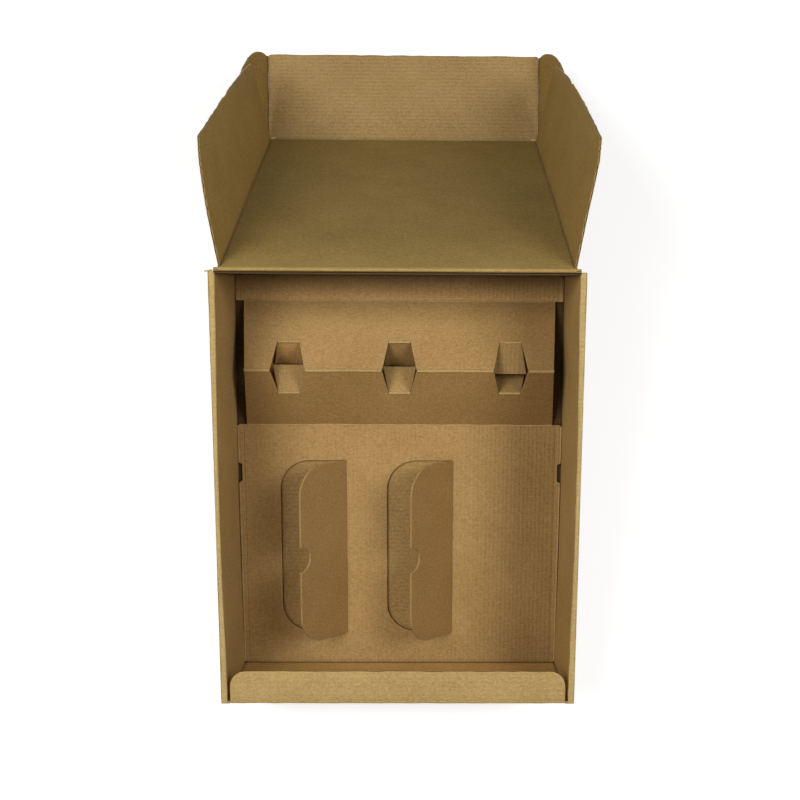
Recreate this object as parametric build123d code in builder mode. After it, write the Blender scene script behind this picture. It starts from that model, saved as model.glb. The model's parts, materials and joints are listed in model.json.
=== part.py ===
from build123d import *
import os
from math import asin, atan2, cos, degrees, radians, sin

# Fine-flute corrugated board and the case it is folded into, in millimetres. The pieces
# are drawn with the case upright and its open side facing -Y, and laid to rest at the end.
board = 1.6
case_width = 272.0
case_height = 326.4
room_depth = 88.5
side_bow = 1.5
rim_radius = 1.1
fold_gap = 0.3
seat_gap = 0.2
overrun = 4.0

# Lid, folded back over the top wall. The gaps are from the side walls' inner faces in.
lid_length = 322.45
lid_angle = 23.0
wing_gap = 3.5
wing_start_height = 78.0
wing_end_height = 74.5
wing_start_slant = 16.5
wing_start_radius = 22.0
wing_end_radius = 5.0
wing_leans = {-1: 9.5, 1: 10.1}
wing_end_slope = 12.0

# Front flap of the lid and the ears at its ends
ear_gap = 1.25
flap_height = 79.1
flap_fold = 63.45
flap_corner = 2.5
flap_root_height = 4.0
flap_root_inset = 1.3
ear_length = 55.0
ear_height = 77.7
ear_root_height = 3.0
ear_radius = 47.0
ear_corner = 6.0
ear_splays = {-1: 23.0, 1: 24.5}

# Lip along the lower end wall
lip_gap = 2.4
lip_height = 25.9
lip_radius = 12.0

# Insert: a neck ridge folded up from a sheet that lies on the back panel
ridge_foot_height = 205.0
ridge_line_height = 251.0
ridge_head_height = 304.4
ridge_rise = 30.0
ridge_end_gap = 6.5
ridge_end_slant = 3.6

# Neck windows, one for each bottle, with their tabs pushed into the ridge
bottle_pitch = 87.6
window_waist = 27.2
window_end_width = 17.4
upper_tab_length = 25.3
lower_tab_length = 22.6
tab_clearance = 0.5
upper_tab_turns = {-1: 44.0, 0: 39.9, 1: 7.3}
lower_tab_turns = {-1: 14.1, 0: 25.4, 1: 50.5}

# Divider flaps raised out of the insert between the bottles
divider_reach = 54.3
divider_foot = 29.5
divider_head = 175.5
divider_radius = 24.0
divider_angle = 50.5
notch_centre = 101.5
notch_radius = 10.4
lock_slot_width = 1.6
lock_slot_foot = 158.0
lock_slot_head = 172.5

# Values that follow from the sizes above
wall_end = 3 * board
case_depth = room_depth + 2 * board
front = -case_depth / 2
back = case_depth / 2
insert_face = front + room_depth
inner_half = case_width / 2 - wall_end
insert_half = inner_half - seat_gap
wing_axis_x = inner_half - wing_gap
ear_axis_x = inner_half - ear_gap
lip_half_width = inner_half - lip_gap
ridge_half_width = insert_half - ridge_end_gap
hinge_reach = board / 2 + fold_gap
divider_axis_xs = (-bottle_pitch / 2, bottle_pitch / 2)
axis_x = Vector(1, 0, 0)


def leaf_plane(origin, across, along):
    """The plane of a folded panel: local x runs along `across`, local y along `along`."""
    return Plane(origin=origin, x_dir=across, z_dir=across.cross(along))


lid_along = Vector(0, cos(radians(lid_angle)), sin(radians(lid_angle)))
lid_up = Vector(0, -sin(radians(lid_angle)), cos(radians(lid_angle)))
lid_axis = Vector(0, front - hinge_reach, case_height + hinge_reach)
lid_plane = leaf_plane(lid_axis, axis_x, lid_along)

fold = radians(flap_fold)
flap_along = lid_along * cos(fold) + lid_up * sin(fold)
flap_inward = lid_up * cos(fold) - lid_along * sin(fold)
flap_axis = lid_axis + lid_along * lid_length
flap_plane = leaf_plane(flap_axis, axis_x, flap_along)

# Tray: two side walls of three layers at their ends and two in the middle, where the
# inner layer bows outwards, an upper and a lower end wall, and the back panel.
with BuildPart() as tray:
    with BuildSketch(Plane.XZ.offset(-front)):
        with Locations((0, case_height / 2)):
            Rectangle(case_width, case_height)
        with BuildLine():
            inner_foot = board
            inner_head = case_height - board
            Line((-inner_half, inner_foot), (inner_half, inner_foot))
            ThreePointArc(
                (inner_half, inner_foot),
                (inner_half + side_bow, case_height / 2),
                (inner_half, inner_head),
            )
            Line((inner_half, inner_head), (-inner_half, inner_head))
            ThreePointArc(
                (-inner_half, inner_head),
                (-inner_half - side_bow, case_height / 2),
                (-inner_half, inner_foot),
            )
        make_face(mode=Mode.SUBTRACT)
    extrude(amount=-case_depth)
    with BuildSketch(Plane.XZ.offset(-back)):
        with Locations((0, case_height / 2)):
            Rectangle(case_width, case_height)
    extrude(amount=board)
    rim_edges = tray.faces().sort_by(Axis.Y)[0].edges().filter_by(
        lambda edge: abs(edge.center().X) > inner_half - seat_gap
    )
    fillet(rim_edges, radius=rim_radius)
    # The lip folds on the front edge of the lower end wall and needs room there.
    with BuildSketch(Plane.XY):
        with Locations((0, front)):
            Rectangle(2 * (lip_half_width + fold_gap), 2 * (board + fold_gap))
    extrude(amount=board, mode=Mode.SUBTRACT)

# Insert: one sheet, flat on the back panel, with the ridge folded out of it.
sheet_middle = insert_face + board / 2
ridge_y = sheet_middle - ridge_rise
ridge_line = Vector(0, ridge_y, ridge_line_height)
upper_slope = (Vector(0, sheet_middle, ridge_head_height) - ridge_line).normalized()
lower_slope = (Vector(0, sheet_middle, ridge_foot_height) - ridge_line).normalized()
insert_foot = board + seat_gap
insert_head = case_height - board - seat_gap

with BuildPart() as insert:
    with BuildSketch(Plane.YZ.offset(-insert_half)):
        with BuildLine():
            Polyline(
                (insert_face, insert_foot),
                (insert_face, ridge_foot_height),
                (insert_face - ridge_rise, ridge_line_height),
                (insert_face, ridge_head_height),
                (insert_face, insert_head),
            )
            offset(amount=board, side=Side.RIGHT, kind=Kind.INTERSECTION)
        make_face()
    extrude(amount=2 * insert_half)
    # Ends of the ridge, cut free of the flat margins and slanting in to its line
    with BuildSketch(Plane.XY.offset(ridge_foot_height)):
        with BuildLine():
            Polyline(
                (ridge_half_width, insert_face + board + overrun),
                (ridge_half_width, insert_face),
                (ridge_half_width - ridge_end_slant, insert_face - ridge_rise),
                (ridge_half_width - ridge_end_slant, insert_face - ridge_rise - overrun),
                (insert_half + overrun, insert_face - ridge_rise - overrun),
                (insert_half + overrun, insert_face + board + overrun),
                close=True,
            )
        make_face()
        mirror(about=Plane.YZ)
    extrude(amount=ridge_head_height - ridge_foot_height, mode=Mode.SUBTRACT)
    # Six-sided windows, cut through both slopes from just beyond the ridge line outwards
    for column in upper_tab_turns:
        window_x = Vector(column * bottle_pitch, 0, 0)
        for slope, tab_length in ((upper_slope, upper_tab_length), (lower_slope, lower_tab_length)):
            with BuildSketch(leaf_plane(ridge_line + window_x, axis_x, slope)):
                Polygon(
                    (-window_waist / 2, -board),
                    (window_waist / 2, -board),
                    (window_waist / 2, 0),
                    (window_end_width / 2, tab_length),
                    (-window_end_width / 2, tab_length),
                    (-window_waist / 2, 0),
                    align=None,
                )
            extrude(amount=board, both=True, mode=Mode.SUBTRACT)
    # The cut-outs, hinged at the far ends of each window and pushed in towards the back
    for column in upper_tab_turns:
        window_x = Vector(column * bottle_pitch, 0, 0)
        upper_turn = radians(upper_tab_turns[column])
        lower_turn = radians(lower_tab_turns[column])
        upper_root = upper_slope * upper_tab_length
        lower_root = lower_slope * lower_tab_length
        upper_along = Vector(0, sin(upper_turn), -cos(upper_turn))
        lower_along = Vector(0, sin(lower_turn), cos(lower_turn))
        for tab_root, tab_along, tab_length in (
            (upper_root, upper_along, upper_tab_length),
            (lower_root, lower_along, lower_tab_length),
        ):
            with BuildSketch(leaf_plane(ridge_line + tab_root + window_x, axis_x, tab_along)):
                Polygon(
                    (-window_end_width / 2, -board / 2),
                    (window_end_width / 2, -board / 2),
                    (window_waist / 2 - tab_clearance, tab_length),
                    (-window_waist / 2 + tab_clearance, tab_length),
                    align=None,
                )
            extrude(amount=board / 2, both=True)
    # Slots of the divider flaps, rounded at the corners away from the hinge
    for hinge_x in divider_axis_xs:
        with BuildSketch(Plane.XZ.offset(-insert_face - board - overrun)):
            with BuildLine():
                slot_edge = hinge_x - divider_reach
                FilletPolyline(
                    (hinge_x, divider_foot),
                    (slot_edge, divider_foot),
                    (slot_edge, divider_head),
                    (hinge_x, divider_head),
                    radius=divider_radius,
                )
                Line((hinge_x, divider_head), (hinge_x, divider_foot))
            make_face()
        extrude(amount=board + 2 * overrun, mode=Mode.SUBTRACT)
    # The divider flaps, raised out of the slots, with a half-round finger notch
    lean = radians(divider_angle)
    divider_along = Vector(-cos(lean), -sin(lean), 0)
    for hinge_x in divider_axis_xs:
        hinge_point = Vector(hinge_x, sheet_middle, 0)
        with BuildSketch(leaf_plane(hinge_point, divider_along, Vector(0, 0, 1))):
            with BuildLine():
                FilletPolyline(
                    (0, divider_foot),
                    (divider_reach, divider_foot),
                    (divider_reach, divider_head),
                    (0, divider_head),
                    radius=divider_radius,
                )
                Line((0, divider_head), (0, divider_foot))
            make_face()
            with Locations((divider_reach, notch_centre)):
                Circle(notch_radius, mode=Mode.SUBTRACT)
        extrude(amount=board / 2, both=True)
    # Locking slots in the margins, beside the side walls
    with BuildSketch(Plane.XZ.offset(-insert_face - board - overrun)):
        lock_slot_height = lock_slot_head - lock_slot_foot
        for side in (-1, 1):
            with Locations((side * insert_half, lock_slot_foot + lock_slot_height / 2)):
                Rectangle(2 * lock_slot_width, lock_slot_height)
    extrude(amount=board + 2 * overrun, mode=Mode.SUBTRACT)

# Lid panel, a little wider at its root, where the bend strip meets the upper end wall
lid_half = wing_axis_x - hinge_reach
lid_reach = lid_length - hinge_reach - seat_gap
wing_start = hinge_reach + board + 2 * fold_gap
with BuildPart() as lid:
    with BuildSketch(lid_plane):
        with Locations((0, lid_reach / 2)):
            Rectangle(2 * lid_half, lid_reach)
        with Locations((0, (wing_start - fold_gap) / 2)):
            Rectangle(2 * lip_half_width, wing_start - fold_gap)
    extrude(amount=board / 2, both=True)
    with BuildSketch(Plane(origin=lid_axis - axis_x * lip_half_width, z_dir=axis_x)):
        Circle(board / 2)
    extrude(amount=2 * lip_half_width)


def build_wing(side):
    """A side flap of the lid, which leans outwards while the lid is open."""
    lean_angle = radians(wing_leans[side])
    wing_up = lid_up * cos(lean_angle) + axis_x * (side * sin(lean_angle))
    wing_axis = lid_axis + axis_x * (side * wing_axis_x)
    wing_end = lid_length - hinge_reach - fold_gap
    end_slant = wing_end_height * sin(radians(wing_end_slope))
    with BuildPart() as wing:
        with BuildSketch(leaf_plane(wing_axis, wing_up, lid_along)):
            Polygon(
                (0, wing_start),
                (wing_start_height, wing_start + wing_start_slant),
                (wing_end_height, wing_end - end_slant),
                (0, wing_end),
                align=None,
            )
            start_corner = (wing_start_height, wing_start + wing_start_slant, 0)
            end_corner = (wing_end_height, wing_end - end_slant, 0)
            fillet(vertices().sort_by_distance(start_corner)[0], radius=wing_start_radius)
            fillet(vertices().sort_by_distance(end_corner)[0], radius=wing_end_radius)
        extrude(amount=board / 2, both=True)
        with BuildSketch(Plane(origin=wing_axis + lid_along * wing_start, z_dir=lid_along)):
            Circle(board / 2)
        extrude(amount=wing_end - wing_start)
    return wing


# Front flap of the lid, slightly narrower at its crease
flap_half = ear_axis_x - hinge_reach
with BuildPart() as front_flap:
    with BuildSketch(flap_plane):
        Polygon(
            (-flap_half + flap_root_inset, 0),
            (flap_half - flap_root_inset, 0),
            (flap_half, flap_root_height),
            (flap_half, flap_height),
            (-flap_half, flap_height),
            (-flap_half, flap_root_height),
            align=None,
        )
        fillet(vertices().group_by(Axis.Y)[-1], radius=flap_corner)
    extrude(amount=board / 2, both=True)
    bead_half = flap_half - flap_root_inset
    with BuildSketch(Plane(origin=flap_axis - axis_x * bead_half, z_dir=axis_x)):
        Circle(board / 2)
    extrude(amount=2 * bead_half)


def build_ear(side):
    """A small flap on an end of the front flap, folded back outside the wing."""
    splay = radians(ear_splays[side])
    ear_across = flap_inward * cos(splay) + axis_x * (side * sin(splay))
    ear_axis = flap_axis + axis_x * (side * ear_axis_x)
    with BuildPart() as ear:
        with BuildSketch(leaf_plane(ear_axis, ear_across, flap_along)):
            Polygon(
                (0, ear_root_height),
                (ear_length, ear_root_height),
                (ear_length, ear_height),
                (0, ear_height),
                align=None,
            )
            lower_corner = (ear_length, ear_root_height, 0)
            upper_corner = (ear_length, ear_height, 0)
            fillet(vertices().sort_by_distance(lower_corner)[0], radius=ear_corner)
            fillet(vertices().sort_by_distance(upper_corner)[0], radius=ear_radius)
        extrude(amount=board / 2, both=True)
        with BuildSketch(Plane(origin=ear_axis + flap_along * ear_root_height, z_dir=flap_along)):
            Circle(board / 2)
        extrude(amount=ear_height - ear_root_height)
    return ear


# Lip, standing in the plane of the rims on the front edge of the lower end wall
lip_axis = Vector(0, front + board / 2, board / 2)
with BuildPart() as lip:
    with BuildSketch(Plane(origin=lip_axis, x_dir=axis_x, z_dir=(0, -1, 0))):
        lip_rise = lip_height - board / 2
        with Locations((0, lip_rise / 2)):
            Rectangle(2 * lip_half_width, lip_rise)
        fillet(vertices().group_by(Axis.Y)[-1], radius=lip_radius)
    extrude(amount=board / 2, both=True)
    with BuildSketch(Plane(origin=lip_axis - axis_x * lip_half_width, z_dir=axis_x)):
        Circle(board / 2)
    extrude(amount=2 * lip_half_width)

left_wing = build_wing(-1)
right_wing = build_wing(1)
left_ear = build_ear(-1)
right_ear = build_ear(1)

# With its lid this far back the box doesn't stand by itself. It lies back on the lower
# edge of its back panel, its heel, and on the far fold of the lid, which props it up.
heel = Vector(0, back, 0)
prop = flap_axis - heel
open_elevation = degrees(atan2(prop.Z, prop.Y))
rest_elevation = degrees(asin(board / 2 / prop.length))
lean_back = open_elevation - rest_elevation

pieces = {
    "tray": tray,
    "insert": insert,
    "lid": lid,
    "left_wing": left_wing,
    "right_wing": right_wing,
    "front_flap": front_flap,
    "left_ear": left_ear,
    "right_ear": right_ear,
    "lip": lip,
}
lean_place = Rot(X=-lean_back) * Pos(-heel)
leaning = {name: lean_place * piece.part for name, piece in pieces.items()}
footprint = Compound(children=list(leaning.values())).bounding_box()
rest_place = Pos(0, -footprint.center().Y, 0) * lean_place

os.makedirs("parts", exist_ok=True)
for name, piece in pieces.items():
    resting = rest_place * piece.part
    resting.label = name
    export_step(resting, f"parts/{name}.step")
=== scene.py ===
import json
import math
import bmesh
import bpy
from mathutils import Matrix, Vector


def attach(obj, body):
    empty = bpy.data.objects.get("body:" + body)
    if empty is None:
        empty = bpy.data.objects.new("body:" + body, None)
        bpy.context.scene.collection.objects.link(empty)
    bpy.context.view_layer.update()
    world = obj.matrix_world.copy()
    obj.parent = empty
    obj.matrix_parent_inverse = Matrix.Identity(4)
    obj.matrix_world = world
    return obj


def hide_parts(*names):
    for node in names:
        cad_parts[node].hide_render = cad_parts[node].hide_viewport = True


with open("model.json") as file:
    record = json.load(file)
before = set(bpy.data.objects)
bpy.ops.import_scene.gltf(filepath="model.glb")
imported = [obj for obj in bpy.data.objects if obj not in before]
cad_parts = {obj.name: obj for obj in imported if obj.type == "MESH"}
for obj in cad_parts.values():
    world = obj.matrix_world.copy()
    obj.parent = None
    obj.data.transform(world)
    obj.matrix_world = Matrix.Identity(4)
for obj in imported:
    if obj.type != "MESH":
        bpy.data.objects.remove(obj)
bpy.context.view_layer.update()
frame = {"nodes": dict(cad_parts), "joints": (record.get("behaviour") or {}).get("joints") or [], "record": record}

scene = bpy.context.scene
scene.view_settings.view_transform = "Standard"

# The whole box leans back on its open lid, so its own directions are slanted in the frame.
# They are read from the record: across the bottles, from the open side to the back panel,
# and from the lower end wall to the lid.
mounts = frame["record"]["mounts"]
mounts = {mount["name"]: mount for mount in mounts} if isinstance(mounts, list) else mounts
joints = {joint["name"]: joint for joint in frame["joints"]}
across = Vector((1, 0, 0))
box_back = Vector(mounts["back_face"]["axis"])
box_up = -Vector(mounts["lower_end"]["axis"])
box_foot = Vector(mounts["lower_end"]["pos_m"])
mm = 0.001


def in_box(x, y, z):
    """A place given in millimetres along the box's own directions."""
    return box_foot + (across * x + box_back * y + box_up * z) * mm


# Camera: the photograph's, level with the upper half of the box and 10.6 degrees down as
# the box sees it. The shift is what the photograph's framing needs.
camera_data = bpy.data.cameras.new("photo_camera")
camera_data.lens = 48.62
camera_data.sensor_width = 36
camera_data.shift_x = -0.0399
camera_data.shift_y = 0.1102
camera_data.clip_end = 20
camera = bpy.data.objects.new("photo_camera", camera_data)
scene.collection.objects.link(camera)
camera_place = in_box(14.62, -833.83, 316.15)
pitch, yaw, roll = math.radians(10.58), math.radians(0.77), math.radians(0.32)
view_ahead = Vector((math.sin(yaw) * math.cos(pitch), math.cos(yaw) * math.cos(pitch), -math.sin(pitch)))
view_right = Vector((math.cos(yaw), -math.sin(yaw), 0))
view_top = view_right.cross(view_ahead)
turned_right = view_right * math.cos(roll) + view_top * math.sin(roll)
turned_top = view_top * math.cos(roll) - view_right * math.sin(roll)
box_axes = Matrix((across, box_back, box_up)).transposed()
camera_axes = box_axes @ Matrix((turned_right, turned_top, -view_ahead)).transposed()
camera.matrix_world = Matrix.Translation(camera_place) @ camera_axes.to_4x4()
scene.camera = camera


def add(tree, kind, links=None, **settings):
    """Adds a node with its settings, and its inputs as links or values. A node that is
    given as a source is linked from its first output."""
    node = tree.nodes.new("ShaderNode" + kind)
    for key, value in settings.items():
        setattr(node, key, value)
    for socket, source in (links or {}).items():
        if isinstance(source, bpy.types.Node):
            source = source.outputs[0]
        if isinstance(source, bpy.types.NodeSocket):
            tree.links.new(source, node.inputs[socket])
        else:
            node.inputs[socket].default_value = source
    return node


def linear(code):
    """An sRGB hex colour as linear light."""
    parts = [int(code[i:i + 2], 16) / 255 for i in (1, 3, 5)]
    return tuple(c / 12.92 if c <= 0.04045 else ((c + 0.055) / 1.055) ** 2.4 for c in parts) + (1.0,)


def looked_at(tree):
    """1 where the camera, a reflection or a see-through piece looks at the surface."""
    rays = add(tree, "LightPath")
    seen = {0: rays.outputs["Is Camera Ray"], 1: rays.outputs["Is Glossy Ray"]}
    seen = add(tree, "Math", seen, operation="MAXIMUM")
    return add(tree, "Math", {0: seen, 1: rays.outputs["Is Transmission Ray"]}, operation="MAXIMUM")


# Studio floor: matt white paper that runs out of view. It keeps the object's soft shadow,
# and is lifted to white only as it is looked at. The lamps fade with distance, so the lift
# grows from 0.8 m outwards.
floor_size = 6
lift_near, lift_far = 0.62, 0.96
bpy.ops.mesh.primitive_plane_add(size=floor_size, location=(0, 0, 0))
floor = bpy.context.object
floor.name = "studio_floor"
floor_paper = bpy.data.materials.new("matt_white_studio_floor")
floor_paper.use_nodes = True
tree = floor_paper.node_tree
tree.nodes.clear()
matt = add(tree, "BsdfDiffuse", {"Color": linear("#D2D2D2")})
ground = add(tree, "TexCoord")
far = add(tree, "VectorMath", {0: ground.outputs["Object"]}, operation="LENGTH")
distances = {"Value": far.outputs["Value"], "From Min": 0.8, "From Max": 2.2}
lift = distances | {"To Min": lift_near, "To Max": lift_far}
lift = add(tree, "MapRange", lift, interpolation_type="SMOOTHSTEP")
lift = add(tree, "Emission", {"Color": (1, 1, 1, 1), "Strength": lift})
lifted = add(tree, "AddShader", {0: matt, 1: lift})
mixed = add(tree, "MixShader", {0: looked_at(tree), 1: matt, 2: lifted})
add(tree, "OutputMaterial", {"Surface": mixed})
floor.data.materials.append(floor_paper)

# Studio surround: plain white as it is looked at. On the object it gives a faint even
# light, so that the softboxes make the shade.
surround_light = 0.14
world = bpy.data.worlds.new("white_studio")
scene.world = world
world.use_nodes = True
tree = world.node_tree
tree.nodes.clear()
strength = add(tree, "Mix", {0: looked_at(tree), 2: surround_light, 3: 1.0})
sky = add(tree, "Background", {"Color": (1, 1, 1, 1), "Strength": strength})
add(tree, "OutputWorld", {"Surface": sky})

# Two wide softboxes in front of the box's open side, 14 degrees up, the left one stronger
softbox_size = 0.60
middle = in_box(0, 0, 200)
softboxes = (
    ("softbox_left", in_box(-638, -1199, 550), 12.6),
    ("softbox_right", in_box(836, -1070, 550), 9.4),
)
for name, where, power in softboxes:
    data = bpy.data.lights.new(name, "AREA")
    data.shape = "SQUARE"
    data.size = softbox_size
    data.energy = power
    lamp = bpy.data.objects.new(name, data)
    scene.collection.objects.link(lamp)
    turn = (middle - where).to_track_quat("-Z", "Y").to_matrix().to_4x4()
    lamp.matrix_world = Matrix.Translation(where) @ turn


# Tray: the back panel, end walls and side walls of the case blank, die cut from one sheet of
# fine-flute corrugated board. The side walls are rolled over double and lock into the back.
board = 1.6 * mm
flute_pitch = 3.43 * mm


def kraft_board(name, origin, u, v, paper_tones, rib_show=1.0, fold_tone="#BFA46B", creases=(), painted_crevice_shade=1.1,
                folds=None):
    """Corrugated board between two liners of brown unbleached kraft paper. The paper is
    matt, mottled and flecked with fibres, the flutes show through it as faint ribs, cut
    edges show the wavy middle, and folds are rubbed pale.

    Ribs run across v. Creases are (axis, place, half width, depth of tone, on both sides)
    in millimetres. Of a sheet that is folded up, folds gives the ribs and tints."""
    material = bpy.data.materials.new(name)
    material.use_nodes = True
    tree = material.node_tree
    tree.nodes.clear()
    turn = Matrix((u, v, u.cross(v))).transposed().to_euler()
    place = add(tree, "TexCoord")
    local = {"Vector": place.outputs["Object"], "Location": origin, "Rotation": turn}
    local = add(tree, "Mapping", local, vector_type="TEXTURE")
    facing = {"Vector": place.outputs["Normal"], "Rotation": turn}
    facing = add(tree, "Mapping", facing, vector_type="TEXTURE")
    at = add(tree, "SeparateXYZ", {0: local}).outputs
    to = add(tree, "SeparateXYZ", {0: facing}).outputs
    along, seen_ribs, tints = folds(tree, at, to) if folds else (at["Y"], 1.0, ())

    # The ribs wander by up to 0.6 mm, as the liner follows the glue lines
    wander = add(tree, "TexNoise", {"Vector": local, "Scale": 60.0, "Detail": 2.0})
    wander = add(tree, "Math", {0: wander, 1: 0.5}, operation="SUBTRACT")
    along = add(tree, "Math", {0: wander, 1: 1.2 * mm, 2: along}, operation="MULTIPLY_ADD")
    turns = add(tree, "Math", {0: along, 1: 2 * math.pi / flute_pitch}, operation="MULTIPLY")
    wave = add(tree, "Math", {0: turns}, operation="SINE")
    rib = add(tree, "Math", {0: wave, 1: seen_ribs}, operation="MULTIPLY")

    # Clouds 45 mm wide, pulp mottle of 1.6 mm, fibres 4 mm long and rare flecks 4 mm apart
    cloud = add(tree, "TexNoise", {"Vector": local, "Scale": 22.0, "Detail": 4.0, "Roughness": 0.5})
    mottle = add(tree, "TexNoise", {"Vector": local, "Scale": 640.0, "Detail": 4.0, "Roughness": 0.8})
    drawn_out = add(tree, "Mapping", {"Vector": local, "Scale": (260.0, 1500.0, 900.0)})
    fibre = add(tree, "TexNoise", {"Vector": drawn_out, "Scale": 1.0, "Detail": 4.0, "Roughness": 0.7})
    fleck = add(tree, "TexVoronoi", {"Vector": local, "Scale": 230.0, "Randomness": 1.0})
    fleck = add(tree, "Math", {0: fleck.outputs["Distance"], 1: 0.075}, operation="LESS_THAN")
    rare = add(tree, "TexNoise", {"Vector": local, "Scale": 90.0, "Detail": 1.0})
    rare = add(tree, "Math", {0: rare, 1: 0.56}, operation="GREATER_THAN")
    fleck = add(tree, "Math", {0: fleck, 1: rare}, operation="MULTIPLY")
    tone = 0.5
    for grain, strength in ((cloud, 0.28), (mottle, 0.95), (fibre, 0.60)):
        uneven = add(tree, "Math", {0: grain, 1: 0.5}, operation="SUBTRACT")
        tone = add(tree, "Math", {0: uneven, 1: strength, 2: tone}, operation="MULTIPLY_ADD")
    tone = add(tree, "Math", {0: rib, 1: 0.035 * rib_show, 2: tone}, operation="MULTIPLY_ADD")
    tone = add(tree, "Math", {0: fleck, 1: -0.20, 2: tone}, operation="MULTIPLY_ADD")
    groove = 0.0
    for axis, where, half_width, depth, both_sides in creases:
        off = add(tree, "Math", {0: at[axis]}, operation="ABSOLUTE") if both_sides else at[axis]
        off = add(tree, "Math", {0: off, 1: where * mm}, operation="SUBTRACT")
        off = add(tree, "Math", {0: off}, operation="ABSOLUTE")
        off = add(tree, "Math", {0: off, 1: half_width * mm}, operation="DIVIDE")
        band = add(tree, "Math", {0: 1.0, 1: off}, operation="SUBTRACT", use_clamp=True)
        tone = add(tree, "Math", {0: band, 1: depth, 2: tone}, operation="MULTIPLY_ADD")
        groove = add(tree, "Math", {0: groove, 1: band}, operation="MAXIMUM")
    surface = add(tree, "ValToRGB", {0: tone})
    stops = surface.color_ramp.elements
    stops[0].position = 0.15
    stops[1].position = 0.85
    stops[0].color = linear(paper_tones[0])
    stops[1].color = linear(paper_tones[2])
    stops.new(0.5).color = linear(paper_tones[1])
    for mask, tint in tints:
        tinted = {0: mask, 6: surface, 7: (*tint, 1)}
        surface = add(tree, "Mix", tinted, data_type="RGBA", blend_type="MULTIPLY").outputs[2]

    # Rubbed folds and cut edges, found where the rounded normal leaves the flat one
    rounded = add(tree, "Bevel", {"Radius": 0.7 * mm}, samples=6)
    shape = add(tree, "NewGeometry")
    alike = add(tree, "VectorMath", {0: rounded, 1: shape.outputs["Normal"]}, operation="DOT_PRODUCT")
    rub = add(tree, "Math", {0: 1.0, 1: alike.outputs["Value"]}, operation="SUBTRACT")
    rub = add(tree, "Math", {0: rub, 1: 4.0}, operation="MULTIPLY", use_clamp=True)
    patchy = add(tree, "Math", {0: mottle, 1: 0.25}, operation="ADD")
    rub = add(tree, "Math", {0: rub, 1: patchy}, operation="MULTIPLY", use_clamp=True)
    rub = add(tree, "Math", {0: rub, 1: 0.7}, operation="MULTIPLY")
    surface = add(tree, "Mix", {0: rub, 6: surface, 7: linear(fold_tone)}, data_type="RGBA").outputs[2]

    # The wavy middle, on faces that cut across a flat sheet. The papers show pale on shade.
    if not folds:
        wave_height, half_medium, liner_inside = 0.52 * mm, 0.16 * mm, 0.58 * mm
        height_here = add(tree, "Math", {0: wave, 1: wave_height}, operation="MULTIPLY")
        off_wave = add(tree, "Math", {0: at["Z"], 1: height_here}, operation="SUBTRACT")
        off_wave = add(tree, "Math", {0: off_wave}, operation="ABSOLUTE")
        medium = add(tree, "Math", {0: off_wave, 1: half_medium}, operation="LESS_THAN")
        off_middle = add(tree, "Math", {0: at["Z"]}, operation="ABSOLUTE")
        liner = add(tree, "Math", {0: off_middle, 1: liner_inside}, operation="GREATER_THAN")
        paper = add(tree, "Math", {0: medium, 1: liner}, operation="MAXIMUM")
        core = {0: paper, 6: linear("#4A3619"), 7: linear("#B89C66")}
        core = add(tree, "Mix", core, data_type="RGBA").outputs[2]
        cut = add(tree, "Math", {0: to["Z"]}, operation="ABSOLUTE")
        cut = add(tree, "Math", {0: cut, 1: 0.35}, operation="LESS_THAN")
        surface = add(tree, "Mix", {0: cut, 6: surface, 7: core}, data_type="RGBA").outputs[2]

    # Painted shade in folds and gaps, within 3 mm of where two panels meet
    if painted_crevice_shade:
        near = add(tree, "AmbientOcclusion", {"Distance": 3.0 * mm}, samples=4)
        shade = add(tree, "Math", {0: 0.88, 1: near.outputs["AO"]}, operation="SUBTRACT")
        shade = add(tree, "Math", {0: shade, 1: painted_crevice_shade}, operation="MULTIPLY", use_clamp=True)
        surface = add(tree, "Mix", {0: shade, 6: surface, 7: linear("#1E1509")}, data_type="RGBA").outputs[2]

    # Relief in millimetres, of the fibres, ribs, mottle and creases. The paper stays matt.
    height = add(tree, "Math", {0: fibre, 1: 0.022}, operation="MULTIPLY")
    height = add(tree, "Math", {0: rib, 1: 0.014 * rib_show, 2: height}, operation="MULTIPLY_ADD")
    height = add(tree, "Math", {0: mottle, 1: 0.020, 2: height}, operation="MULTIPLY_ADD")
    if creases:
        height = add(tree, "Math", {0: groove, 1: -0.22, 2: height}, operation="MULTIPLY_ADD")
    bump = add(tree, "Bump", {"Strength": 1.0, "Distance": mm, "Height": height, "Normal": rounded})
    rough = add(tree, "Math", {0: mottle, 1: 0.12, 2: 0.74}, operation="MULTIPLY_ADD")
    paint = {"Base Color": surface, "Roughness": rough, "Normal": bump, "Specular IOR Level": 0.25}
    add(tree, "OutputMaterial", {"Surface": add(tree, "BsdfPrincipled", paint)})
    return material


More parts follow.
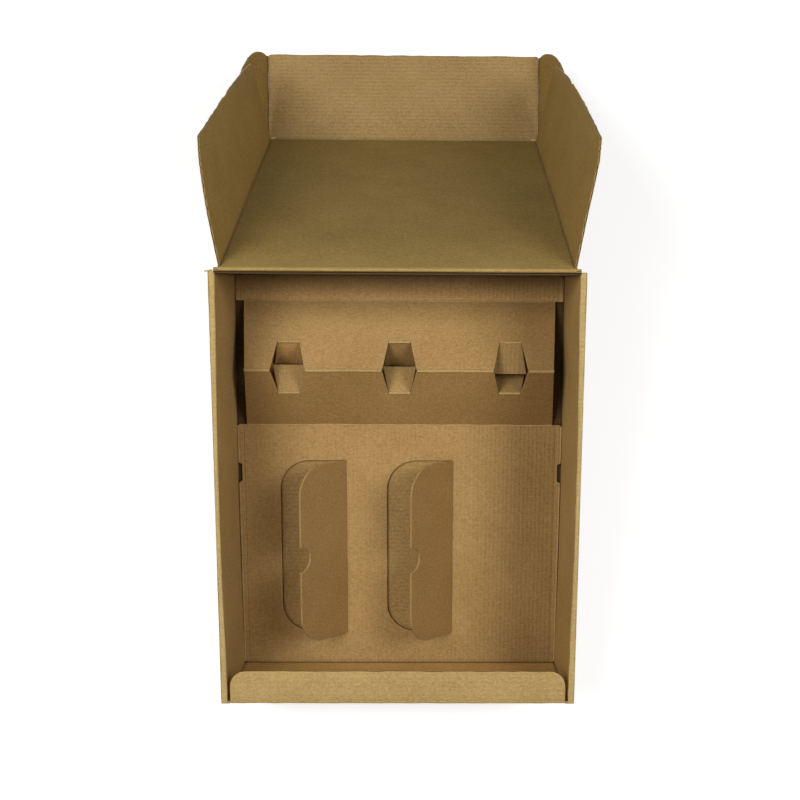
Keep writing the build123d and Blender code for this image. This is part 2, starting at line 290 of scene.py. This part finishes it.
def tray_folds(tree, at, to):
    """The tray's ribs, and where painted shade darkens its paper or painted light makes it paler."""
    # The end walls are folded round, so there the ribs are counted by the depth. None show
    # on the side walls.
    off_across = add(tree, "Math", {0: to["X"]}, operation="ABSOLUTE")
    seen_ribs = add(tree, "Math", {0: off_across, 1: 0.5}, operation="LESS_THAN")
    on_end = add(tree, "Math", {0: to["Y"]}, operation="ABSOLUTE")
    on_end = add(tree, "Math", {0: on_end, 1: 0.7}, operation="GREATER_THAN")
    along = add(tree, "Mix", {0: on_end, 2: at["Y"], 3: at["Z"]})
    # Painted shade on bare stretches of the back panel, beside the ridge's ends and in the locking slots.
    # Each is a place and how far it reaches to both sides of it.
    ridge_stretch = {1: 254.7 * mm, 2: 49.6 * mm}
    slot_stretch = {1: 165.2 * mm, 2: 7.4 * mm}
    bare_margin = {1: 125.6 * mm, 2: 7.5 * mm}
    from_middle = add(tree, "Math", {0: at["X"]}, operation="ABSOLUTE")
    by_ridge = add(tree, "Math", {0: at["Y"]} | ridge_stretch, operation="COMPARE")
    in_slots = add(tree, "Math", {0: at["Y"]} | slot_stretch, operation="COMPARE")
    bare = add(tree, "Math", {0: by_ridge, 1: in_slots}, operation="MAXIMUM")
    margin = add(tree, "Math", {0: from_middle} | bare_margin, operation="COMPARE")
    bare = add(tree, "Math", {0: margin, 1: bare}, operation="MULTIPLY")
    at_back = add(tree, "Math", {0: at["Z"], 1: 0.0}, operation="LESS_THAN")
    bare = add(tree, "Math", {0: bare, 1: at_back}, operation="MULTIPLY")
    # Painted shade on the upper end wall's front edge, under the lid's bend
    inside_rims = add(tree, "Math", {0: from_middle, 1: 131.1 * mm}, operation="LESS_THAN")
    top_edge = add(tree, "Math", {0: at["Y"], 1: 324.4 * mm}, operation="GREATER_THAN")
    top_edge = add(tree, "Math", {0: inside_rims, 1: top_edge}, operation="MULTIPLY")
    painted_shade = add(tree, "Math", {0: bare, 1: top_edge}, operation="MAXIMUM")
    to_front = add(tree, "Math", {0: to["Z"], 1: 0.3}, operation="GREATER_THAN")
    painted_shade = add(tree, "Math", {0: painted_shade, 1: to_front}, operation="MULTIPLY")
    # Painted light makes the right-hand wall's inner face, and the lower end wall's, paler
    to_left = add(tree, "Math", {0: to["X"], 1: -0.7}, operation="LESS_THAN")
    right_half = add(tree, "Math", {0: at["X"], 1: 0.0}, operation="GREATER_THAN")
    painted_light_right_wall = add(tree, "Math", {0: to_left, 1: right_half}, operation="MULTIPLY")
    to_top = add(tree, "Math", {0: to["Y"], 1: 0.7}, operation="GREATER_THAN")
    low = add(tree, "Math", {0: at["Y"], 1: 50 * mm}, operation="LESS_THAN")
    painted_light_lower_wall = add(tree, "Math", {0: to_top, 1: low}, operation="MULTIPLY")
    tints = (
        (painted_shade, (0.22, 0.19, 0.17)),
        (painted_light_right_wall, (1.10, 1.12, 1.13)),
        (painted_light_lower_wall, (1.40, 1.37, 1.32)),
    )
    return along, seen_ribs, tints


def dress(node, material):
    """Gives a CAD node a better material, in its object's own slots."""
    piece = frame["nodes"][node]
    for slot_place in piece.material_slots:
        slot_place.link = "OBJECT"
        slot_place.material = material


# Painted shade: the crease at 325.7 mm darkens the upper end wall's front edge under the lid's bend, and grooves
# it a little
tray_board = kraft_board(
    "kraft_corrugated_board_of_the_tray", box_foot, across, box_up, ("#755B2F", "#A4844E", "#C4A36C"),
    creases=(("Y", 325.7, 1.3, -1.4, False),), painted_crevice_shade=2.0, folds=tray_folds,
)
dress("tray", tray_board)

# Rims of the side walls, where the board is rolled over double: a soft bright fold that
# bows outwards with the inner layer. Rubbed kraft liner, stretched over the roll.
rim_middle, rim_front = 133.5, -45.15


def pick(piece, test):
    """Selects, in edit mode, what stands on the points that pass the test."""
    shape = bmesh.from_edit_mesh(piece.data)
    for group in (shape.faces, shape.edges, shape.verts):
        for element in group:
            element.select = False
    for point in shape.verts:
        point.select = test(point.co)
    shape.select_flush(True)
    bmesh.update_edit_mesh(piece.data)


def slice_up(places, direction):
    """Cuts the open piece across at each place, so that it can be bent there."""
    for place in places:
        bpy.ops.mesh.select_all(action="SELECT")
        bpy.ops.mesh.bisect(plane_co=Vector(direction) * place, plane_no=direction)


def settle(piece, place, material, body):
    """Applies the piece's place to its mesh, and gives it its board and its body."""
    bpy.ops.object.mode_set(mode="OBJECT")
    piece.matrix_world = place
    bpy.ops.object.transform_apply(location=True, rotation=True, scale=True)
    bpy.ops.object.shade_smooth_by_angle(angle=math.radians(35))
    piece.data.materials.clear()
    piece.data.materials.append(material)
    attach(piece, body)


def fold_line(name, start, end, half_width, half_depth, facing, material, body,
              uneven=0.12 * mm, thinned=0):
    """A creased fold: a slim rounded bead from start to end, a little uneven."""
    run = end - start
    bpy.ops.object.select_all(action="DESELECT")
    bpy.ops.mesh.primitive_cylinder_add(
        vertices=16, radius=1, depth=run.length, location=(0, 0, run.length / 2), end_fill_type="NGON",
    )
    piece = bpy.context.object
    piece.name = name
    bpy.ops.object.transform_apply(location=True, rotation=True, scale=True)
    bpy.ops.object.mode_set(mode="EDIT")
    bpy.ops.mesh.select_mode(type="VERT")
    bpy.ops.mesh.select_all(action="SELECT")
    bpy.ops.transform.resize(value=(half_width, half_depth, 1), center_override=(0, 0, 0))
    lengths = max(2, round(run.length / (9 * mm)))
    slice_up([run.length * number / lengths for number in range(1, lengths)], (0, 0, 1))
    pick(piece, lambda co: 0.1 * mm < co.z < run.length - 0.1 * mm)
    bpy.ops.transform.vertex_random(offset=uneven, uniform=0.5, normal=0.5, seed=len(name) * 7)
    if thinned:
        # Narrower along its middle, towards one edge
        pick(piece, lambda co: abs(co.z - run.length / 2) < run.length / 12)
        bpy.ops.transform.resize(
            value=(0.68, 1, 1), center_override=(thinned * half_width, 0, 0), use_proportional_edit=True,
            proportional_edit_falloff="SMOOTH", proportional_size=run.length / 2.6,
        )
    along = run.normalized()
    side = facing.cross(along).normalized()
    turn = Matrix((side, along.cross(side), along)).transposed().to_4x4()
    settle(piece, Matrix.Translation(start) @ turn, material, body)


for side, name in ((-1, "left_rim_fold"), (1, "right_rim_fold")):
    rim_board = kraft_board(
        f"shaded_kraft_board_of_the_{name}", box_foot, across, box_up, ("#937843", "#B99E65", "#CFB983"),
        rib_show=0.5, painted_crevice_shade=0.0, folds=tray_folds,
    )
    fold_line(
        name, in_box(side * rim_middle, rim_front, 0.2), in_box(side * rim_middle, rim_front, 326.2),
        2.4 * mm, 1.0 * mm, -box_back, rim_board, "tray", uneven=0.2 * mm, thinned=-side,
    )

# The left rim's liner is torn at its head and stands out as a short spur
fold_line(
    "left_rim_torn_end", in_box(-137.9, -46.3, 325.9), in_box(-132.6, -45.6, 326.8),
    0.5 * mm, 0.4 * mm, -box_back, rim_board, "tray", uneven=0.1 * mm,
)

# Insert: a second sheet of the same board with its ribs upright, die cut and laid on the
# back panel. A ridge is folded out of it for the bottles' necks, and two dividers are
# raised between the bottles.
insert_face = 43.45
sheet_origin = in_box(0, insert_face, 0)
ridge_foot, ridge_line, ridge_head = 205.0, 251.0, 304.4
ridge_rise = 30.0
bottle_pitch = 87.6
divider_stretch = 1.572


def insert_folds(tree, at, to):
    """The insert's ribs, and its tints: painted shade and painted light, and darker towards the lower end wall."""
    # The raised dividers are turned, so their ribs are wider apart as the box is wide
    turned = add(tree, "Math", {0: to["X"]}, operation="ABSOLUTE")
    turned = add(tree, "Math", {0: turned, 1: 0.77, 2: 0.1}, operation="COMPARE")
    stretched = add(tree, "Math", {0: at["X"], 1: divider_stretch}, operation="MULTIPLY")
    along = add(tree, "Mix", {0: turned, 2: at["X"], 3: stretched})
    # Painted light: the ribs are drawn stronger in colour and relief on the flat sheet, most of all on its right,
    # where low light from the left picks them out
    lit_from, lit_over, least_lit = 10 * mm, 80 * mm, 0.35
    flat = add(tree, "Math", {0: to["Z"], 1: 0.95}, operation="GREATER_THAN")
    flat = add(tree, "Math", {0: flat, 1: 0.8, 2: 0.2}, operation="MULTIPLY_ADD")
    rightwards = add(tree, "Math", {0: at["X"], 1: lit_from}, operation="SUBTRACT")
    rightwards = add(tree, "Math", {0: rightwards, 1: lit_over}, operation="DIVIDE", use_clamp=True)
    rightwards = add(tree, "Math", {0: rightwards, 1: least_lit}, operation="MAXIMUM")
    seen_ribs = add(tree, "Math", {0: flat, 1: rightwards}, operation="MULTIPLY")
    # Painted shade makes the dividers and the lower slope of the ridge darker and browner, as they face away from
    # the light
    to_foot = add(tree, "Math", {0: to["Y"], 1: -0.3}, operation="LESS_THAN")
    to_right = add(tree, "Math", {0: to["X"], 1: 0.5}, operation="GREATER_THAN")
    turned_away = add(tree, "Math", {0: to_foot, 1: to_right}, operation="MAXIMUM")
    # Painted light makes the sheet paler above the ridge, and painted shade darkens it under the upper end wall
    head = add(tree, "Math", {0: at["Y"], 1: (ridge_head + 0.1) * mm}, operation="GREATER_THAN")
    under_wall = add(tree, "Math", {0: at["Y"], 1: 306 * mm}, operation="SUBTRACT")
    under_wall = add(tree, "Math", {0: under_wall, 1: 16 * mm}, operation="DIVIDE", use_clamp=True)
    # Painted light on the tabs of the left-hand window, where they are pushed in under the ridge
    upper_side = add(tree, "Math", {0: ridge_head * mm, 1: at["Y"]}, operation="SUBTRACT")
    upper_side = {0: upper_side, 1: ridge_rise / (ridge_head - ridge_line)}
    upper_side = add(tree, "Math", upper_side, operation="MULTIPLY")
    lower_side = add(tree, "Math", {0: at["Y"], 1: ridge_foot * mm}, operation="SUBTRACT")
    lower_side = {0: lower_side, 1: ridge_rise / (ridge_line - ridge_foot)}
    lower_side = add(tree, "Math", lower_side, operation="MULTIPLY")
    depth = add(tree, "Math", {0: upper_side, 1: lower_side}, operation="MINIMUM")
    depth = add(tree, "Math", {0: depth, 1: at["Z"]}, operation="SUBTRACT")
    pushed_in = add(tree, "Math", {0: depth, 1: 0.9 * mm}, operation="GREATER_THAN")
    limits = (
        ("GREATER_THAN", at["Z"], 0.3 * mm),
        ("LESS_THAN", to["Y"], 0.1),
        ("LESS_THAN", at["X"], -44 * mm),
    )
    for side_of, measure, limit in limits:
        within = add(tree, "Math", {0: measure, 1: limit}, operation=side_of)
        pushed_in = add(tree, "Math", {0: pushed_in, 1: within}, operation="MULTIPLY")
    # Painted shade darkens the sheet towards the right-hand wall; it is also darker towards the lower end wall
    painted_shade_right = add(tree, "Math", {0: at["X"], 1: 58 * mm}, operation="SUBTRACT")
    painted_shade_right = add(tree, "Math", {0: painted_shade_right, 1: 45 * mm}, operation="DIVIDE", use_clamp=True)
    below_head = add(tree, "Math", {0: 1.0, 1: head}, operation="SUBTRACT")
    painted_shade_right = add(tree, "Math", {0: painted_shade_right, 1: below_head}, operation="MULTIPLY")
    low = add(tree, "Math", {0: 40 * mm, 1: at["Y"]}, operation="SUBTRACT")
    low = add(tree, "Math", {0: low, 1: 25 * mm}, operation="DIVIDE", use_clamp=True)
    tints = (
        (turned_away, (0.80, 0.75, 0.68)),
        (head, (1.30, 1.29, 1.32)),
        (under_wall, (0.52, 0.52, 0.53)),
        (pushed_in, (1.75, 1.70, 1.66)),
        (painted_shade_right, (0.82, 0.80, 0.77)),
        (low, (0.88, 0.90, 0.93)),
    )
    return along, seen_ribs, tints


insert_board = kraft_board(
    "kraft_corrugated_board_of_the_insert", sheet_origin, across, box_up, ("#80602E", "#AB8853", "#C5A46F"),
    rib_show=1.4, fold_tone="#CDB27A",
    creases=(("X", 127.3, 0.8, -0.05, True), ("X", 129.0, 1.4, 0.22, False)), folds=insert_folds,
)
dress("insert", insert_board)

# Folds of the insert: the ridge's line, cut away at the windows, its foot and head, the
# roots of the windows' tabs and the hinges of the two raised dividers. Each is a bent,
# rubbed ridge in the liner.
insert_fold_board = kraft_board(
    "shaded_kraft_board_of_the_insert_folds", sheet_origin, across, box_up, ("#8E6F3C", "#B3935D", "#C6A975"),
    rib_show=0.0, painted_crevice_shade=0.0,
)
ridge_end, ridge_foot_end, window_half_waist = 121.3, 124.4, 14.0
tab_half_width = 8.6
insert_folds_made = [
    (f"ridge_line_fold_{number + 1}", (x0, 13.45, ridge_line), (x1, 13.45, ridge_line), 1.2, 1.2, 0.24)
    for number, (x0, x1) in enumerate((
        (-ridge_end, -bottle_pitch - window_half_waist),
        (-bottle_pitch + window_half_waist, -window_half_waist),
        (window_half_waist, bottle_pitch - window_half_waist),
        (bottle_pitch + window_half_waist, ridge_end),
    ))
]
for name, z in (("ridge_foot_fold", ridge_foot), ("ridge_head_fold", ridge_head)):
    insert_folds_made.append((name, (-ridge_foot_end, 43.4, z), (ridge_foot_end, 43.4, z), 1.1, 1.1, 0.22))
for window, x in enumerate((-bottle_pitch, 0.0, bottle_pitch)):
    for name, y, z in (("upper", 25.6, 272.7), ("lower", 25.5, 232.6)):
        left, right = (x - tab_half_width, y, z), (x + tab_half_width, y, z)
        insert_folds_made.append((f"{name}_tab_fold_{window + 1}", left, right, 1.1, 1.1, 0.2))
for number, x in enumerate((-bottle_pitch / 2, bottle_pitch / 2)):
    low, high = (x, 43.4, 29.8), (x, 43.4, 175.2)
    insert_folds_made.append((f"divider_fold_{number + 1}", low, high, 0.92, 0.95, 0.12))
# Its margins are pressed up against the bowed walls, below and above the locking slots
for side, name in ((-1, "left_margin_fold"), (1, "right_margin_fold")):
    for number, (x0, z0, x1, z1) in enumerate(((130.9, 3, 131.6, 157), (131.7, 173.2, 131.8, 204))):
        low, high = (side * x0, 43.0, z0), (side * x1, 43.0, z1)
        insert_folds_made.append((f"{name}_{number + 1}", low, high, 0.9, 0.6, 0.12))
for name, start, end, half_width, half_depth, uneven in insert_folds_made:
    fold_line(
        name, in_box(*start), in_box(*end), half_width * mm, half_depth * mm, -box_back,
        insert_fold_board, "tray", uneven=uneven * mm,
    )

# Lid panel of the case blank, 1.6 mm board, thrown back over the upper end wall. Its root
# is a rounded bend in the board that shows as a bright band.
lid_at = Vector(joints["lid_hinge"]["pos_m"])
lid_along = Vector(joints["left_wing_fold"]["axis"])
lid_up = across.cross(lid_along)
lid_board = kraft_board(
    "kraft_corrugated_board_of_the_lid", lid_at, across, lid_along, ("#5D4A21", "#897139", "#A88E52"),
    rib_show=0.5, creases=(("Y", 0, 62, 0.19, False),),
)
dress("lid", lid_board)
bend_board = kraft_board(
    "shaded_kraft_board_of_the_lid_bend", lid_at, across, lid_along, ("#80652F", "#A88B4F", "#C0A468"),
    rib_show=0.0, painted_crevice_shade=0.0,
)
bend_reach, slope_reach = across * (131.3 * mm), across * (127.5 * mm)
slope_at = lid_at + lid_along * (1.4 * mm)
fold_line(
    "lid_root_bend", lid_at - bend_reach, lid_at + bend_reach,
    1.4 * mm, 1.4 * mm, lid_along, bend_board, "lid", uneven=0.05 * mm,
)
fold_line(
    "lid_root_slope", slope_at - slope_reach, slope_at + slope_reach,
    0.98 * mm, 3.2 * mm, lid_along, bend_board, "lid", uneven=0.04 * mm,
)

# Side flaps of the lid, of the same board, which lean outwards. Their long edges are die
# cut and a little wavy, and the sheet is slightly bowed. Each folds at a pressed crease.
flap_tones = ("#644E24", "#93753B", "#B29253")


def cut_blank(name, corners, rounding, cuts_x, cuts_y):
    """A flat cut of board in XY, its corners in millimetres and rounded as the die cuts
    them, sliced so that it can be bent."""
    bpy.ops.object.select_all(action="DESELECT")
    bpy.ops.mesh.primitive_circle_add(vertices=len(corners), radius=1, fill_type="NGON")
    piece = bpy.context.object
    piece.name = name
    starts = [point.co.copy() for point in piece.data.vertices]
    bpy.ops.object.mode_set(mode="EDIT")
    bpy.ops.mesh.select_mode(type="VERT")
    for start, (x, y) in zip(starts, corners):
        pick(piece, lambda co: (co - start).length < 0.01 * mm)
        bpy.ops.transform.translate(value=Vector((x * mm, y * mm, 0)) - start)
    for number, radius in rounding.items():
        corner = Vector((*corners[number], 0)) * mm
        before = (Vector((*corners[number - 1], 0)) * mm - corner).normalized()
        after = (Vector((*corners[(number + 1) % len(corners)], 0)) * mm - corner).normalized()
        pick(piece, lambda co: (co - corner).length < 0.01 * mm)
        reach = radius * mm / math.tan(before.angle(after) / 2)
        bpy.ops.mesh.bevel(offset=reach, segments=6, affect="VERTICES")
    slice_up([x * mm for x in cuts_x], (1, 0, 0))
    slice_up([y * mm for y in cuts_y], (0, 1, 0))
    return piece


def ruffle(piece, test, amount, seed):
    """Leaves a cut edge a little wavy, as a die and the flutes under it do."""
    pick(piece, test)
    bpy.ops.transform.vertex_random(offset=amount, uniform=0.7, normal=0, seed=seed)


def press(piece, test, amount, reach):
    """Bends the sheet about the picked points."""
    pick(piece, test)
    bpy.ops.transform.translate(
        value=(0, 0, amount), use_proportional_edit=True, proportional_edit_falloff="SMOOTH",
        proportional_size=reach,
    )


def thicken(piece):
    """Gives the sheet the board's 1.6 mm, with its cut edges just blunted."""
    bpy.ops.object.mode_set(mode="OBJECT")
    sheet = piece.modifiers.new("board", "SOLIDIFY")
    sheet.thickness = board
    sheet.offset = 0
    edge = piece.modifiers.new("blunt_edge", "BEVEL")
    edge.width = 0.22 * mm
    edge.segments = 2
    edge.limit_method = "ANGLE"
    edge.angle_limit = math.radians(50)
    bpy.ops.object.modifier_apply(modifier=sheet.name)
    bpy.ops.object.modifier_apply(modifier=edge.name)


def steps(first, last, size):
    """Evenly spaced places between two ends, about a size apart."""
    count = max(1, round((last - first) / size))
    return [first + (last - first) * step / count for step in range(1, count)]


def place_of(origin, u, v):
    """The matrix that lays local X along u and local Y along v."""
    return Matrix.Translation(origin) @ Matrix((u, v, u.cross(v))).transposed().to_4x4()


left_outline = (
    (0.5, 3.3), (36, 13), (54, 21.5), (70, 32), (81.8, 46), (81.4, 60), (79.8, 128), (79.2, 165),
    (78.2, 178), (79.2, 192), (78.2, 214), (77.4, 252), (77.8, 268), (74.5, 305.56), (0.5, 321.05),
)
right_outline = (
    (0.5, 3.3), (36, 15), (56, 19.5), (72.5, 24.5), (85.0, 37.8), (85.0, 77), (84.0, 144),
    (82.4, 205), (81.0, 213), (81.6, 230), (79.0, 268), (74.5, 305.56), (0.5, 321.05),
)
left_rounding = {1: 60.0, 2: 60.0, 3: 30.0, 4: 3.0, 13: 5.0}
right_rounding = {1: 60.0, 3: 3.0, 11: 5.0}
wings = (
    (-1, "left_wing", 9.5, left_outline, left_rounding),
    (1, "right_wing", 10.1, right_outline, right_rounding),
)
for side, name, lean, corners, rounding in wings:
    at = Vector(joints[f"{name}_fold"]["pos_m"])
    wing_up = lid_up * math.cos(math.radians(lean)) + across * (side * math.sin(math.radians(lean)))
    wing_board = kraft_board(
        f"kraft_corrugated_board_of_the_{name}", at, wing_up, lid_along, flap_tones, rib_show=0.6,
    )
    dress(name, wing_board)
    wing = cut_blank(f"{name}_sheet", corners, rounding, steps(0.5, 78, 9), steps(3.3, 321, 8))
    ruffle(wing, lambda co: co.x > 76.5 * mm and co.y > 50 * mm, 0.3 * mm, 5 + side)
    bow_middle, far_corner = Vector((50, 160, 0)) * mm, Vector((74, 300, 0)) * mm
    press(wing, lambda co: (co - bow_middle).length < 12 * mm, -side * 1.1 * mm, 110 * mm)
    press(wing, lambda co: (co - far_corner).length < 12 * mm, side * 1.6 * mm, 60 * mm)
    thicken(wing)
    settle(wing, place_of(at, wing_up, lid_along), wing_board, name)
    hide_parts(name)
    # Painted shade: the crease is darker than the wing, a shade line along the wing's foot
    crease_board = kraft_board(
        f"shaded_kraft_board_of_the_{name}_crease", at, wing_up, lid_along,
        ("#5A441F", "#7F6433", "#9C7E48"), rib_show=0.0, painted_crevice_shade=0.0,
    )
    fold_line(
        f"{name}_crease", at + lid_along * (3.4 * mm), at + lid_along * (321 * mm),
        1.04 * mm, 0.96 * mm, lid_up, crease_board, name, uneven=0.1 * mm,
    )

# Front flap of the lid, creased along its foot, with its free edge left wavy by the die.
# Its foot's corners curl up where the crease ends.
flap_at = Vector(joints["front_flap_fold"]["pos_m"])
flap_along = Vector(joints["left_ear_fold"]["axis"])
flap_inward = across.cross(flap_along)
flap_board = kraft_board(
    "kraft_corrugated_board_of_the_front_flap", flap_at, across, flap_along,
    ("#785F2F", "#A48755", "#C0A371"), rib_show=1.1,
)
dress("front_flap", flap_board)
corners = ((-127.55, 0.2), (127.55, 0.2), (128.85, 4.0), (128.85, 78.75), (-128.85, 78.75), (-128.85, 4.0))
flap = cut_blank("front_flap_sheet", corners, {3: 2.5, 4: 2.5}, steps(-128, 128, 8), steps(0, 79, 9))
ruffle(flap, lambda co: co.y > 78.5 * mm and abs(co.x) < 120 * mm, 0.32 * mm, 11)
press(flap, lambda co: abs(co.x) < 90 * mm and abs(co.y - 56 * mm) < 5 * mm, 0.8 * mm, 46 * mm)
for side in (-1, 1):
    foot_corner = Vector((side * 126, 2, 0)) * mm
    press(flap, lambda co: (co - foot_corner).length < 3.5 * mm, 0.07 * mm, 12 * mm)
thicken(flap)
settle(flap, place_of(flap_at, across, flap_along), flap_board, "front_flap")
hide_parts("front_flap")
crease_board = kraft_board(
    "shaded_kraft_board_of_the_front_flap_crease", flap_at, across, flap_along,
    ("#7C6334", "#A88A54", "#C2A672"), rib_show=0.0, painted_crevice_shade=0.0,
)
crease_reach = across * (127.5 * mm)
crease_radius = flap_at.z - 0.06 * mm
fold_line(
    "front_flap_crease", flap_at - crease_reach, flap_at + crease_reach,
    crease_radius, crease_radius, lid_up, crease_board, "front_flap", uneven=0.04 * mm,
)
# The lid's own end is pressed thin where the flap's crease begins
press_reach = across * (126.2 * mm)
press_at = flap_at - lid_along * (1.77 * mm)
fold_line(
    "lid_end_press", press_at - press_reach, press_at + press_reach,
    0.72 * mm, 0.86 * mm, lid_along, bend_board, "lid", uneven=0.03 * mm,
)
curl_board = kraft_board(
    "shaded_kraft_board_of_the_flap_corner_curls", flap_at, across, flap_along,
    ("#A0834E", "#C7AA74", "#D9C08C"), rib_show=0.0, painted_crevice_shade=0.0,
)
for side, name in ((-1, "left_corner_curl"), (1, "right_corner_curl")):
    root = flap_at + across * (side * 127.7 * mm) + flap_along * (1.5 * mm) + flap_inward * (0.3 * mm)
    tip = root - across * (side * 5.2 * mm) + flap_along * (0.4 * mm)
    fold_line(name, root, tip, 1.3 * mm, 0.7 * mm, flap_inward, curl_board, "front_flap", uneven=0.08 * mm)

# Ears at the ends of the front flap, of the same board, folded back at a crease outside
# the side flaps. The die cuts them round, so that they slide in beside the walls.
left_outline = (
    (0.4, 3.0), (54.6, 3.0), (54.2, 20), (50, 38), (46.2, 53.1), (42.1, 58.4), (34.3, 67.4),
    (26.3, 73.4), (19.9, 76.6), (13, 78.1), (6.5, 78.3), (0.4, 76.5),
)
right_outline = (
    (0.4, 3.0), (54.6, 3.0), (54.2, 20), (49, 42), (43.7, 54.5), (37.5, 63.8), (29.7, 71.2),
    (21, 76.2), (13, 78.4), (6.5, 78.7), (0.4, 77.3),
)
ears = ((-1, "left_ear", 23.0, left_outline), (1, "right_ear", 24.5, right_outline))
for side, name, splay, corners in ears:
    at = Vector(joints[f"{name}_fold"]["pos_m"])
    outwards = flap_inward * math.cos(math.radians(splay)) + across * (side * math.sin(math.radians(splay)))
    ear_board = kraft_board(
        f"kraft_corrugated_board_of_the_{name}", at, outwards, flap_along, flap_tones, rib_show=0.6,
    )
    dress(name, ear_board)
    rounding = {number: 14.0 for number in range(2, len(corners) - 1)} | {1: 6.0}
    ear = cut_blank(f"{name}_sheet", corners, rounding, steps(0, 55, 9), steps(3, 77, 9))
    ruffle(ear, lambda co: co.y > 40 * mm and co.x > 30 * mm, 0.2 * mm, 20 + side)
    thicken(ear)
    settle(ear, place_of(at, outwards, flap_along), ear_board, name)
    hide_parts(name)
    # Painted shade: the crease is darker than the ear, a shade line along its fold
    crease_board = kraft_board(
        f"shaded_kraft_board_of_the_{name}_crease", at, outwards, flap_along,
        ("#4A3719", "#6E552B", "#8A6F3E"), rib_show=0.0, painted_crevice_shade=0.0,
    )
    fold_line(
        f"{name}_crease", at + flap_along * (3.1 * mm), at + flap_along * (77.6 * mm),
        1.00 * mm, 0.96 * mm, flap_inward, crease_board, name, uneven=0.1 * mm,
    )

# Lip along the lower end wall, the last flap of the case blank, creased on the wall's
# front edge and cut round at its free corners.
lip_at = Vector(joints["lip_fold"]["pos_m"])
lip_board = kraft_board(
    "kraft_corrugated_board_of_the_lip", lip_at, across, box_up, ("#896B3B", "#B5965C", "#CFB179"),
    rib_show=0.5,
)
dress("lip", lip_board)
corners = ((-128.8, 0.2), (128.8, 0.2), (128.8, 25.1), (-128.8, 25.1))
lip = cut_blank("lip_sheet", corners, {2: 12.0, 3: 12.0}, steps(-128, 128, 8), steps(0, 25, 8))
ruffle(lip, lambda co: co.y > 24.9 * mm and abs(co.x) < 116 * mm, 0.38 * mm, 31)
thicken(lip)
settle(lip, place_of(lip_at, across, box_up), lip_board, "lip")
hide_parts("lip")
crease_reach = across * (128.5 * mm)
fold_line(
    "lip_crease", lip_at - crease_reach, lip_at + crease_reach,
    0.8 * mm, 0.8 * mm, -box_back, lip_board, "lip",
)
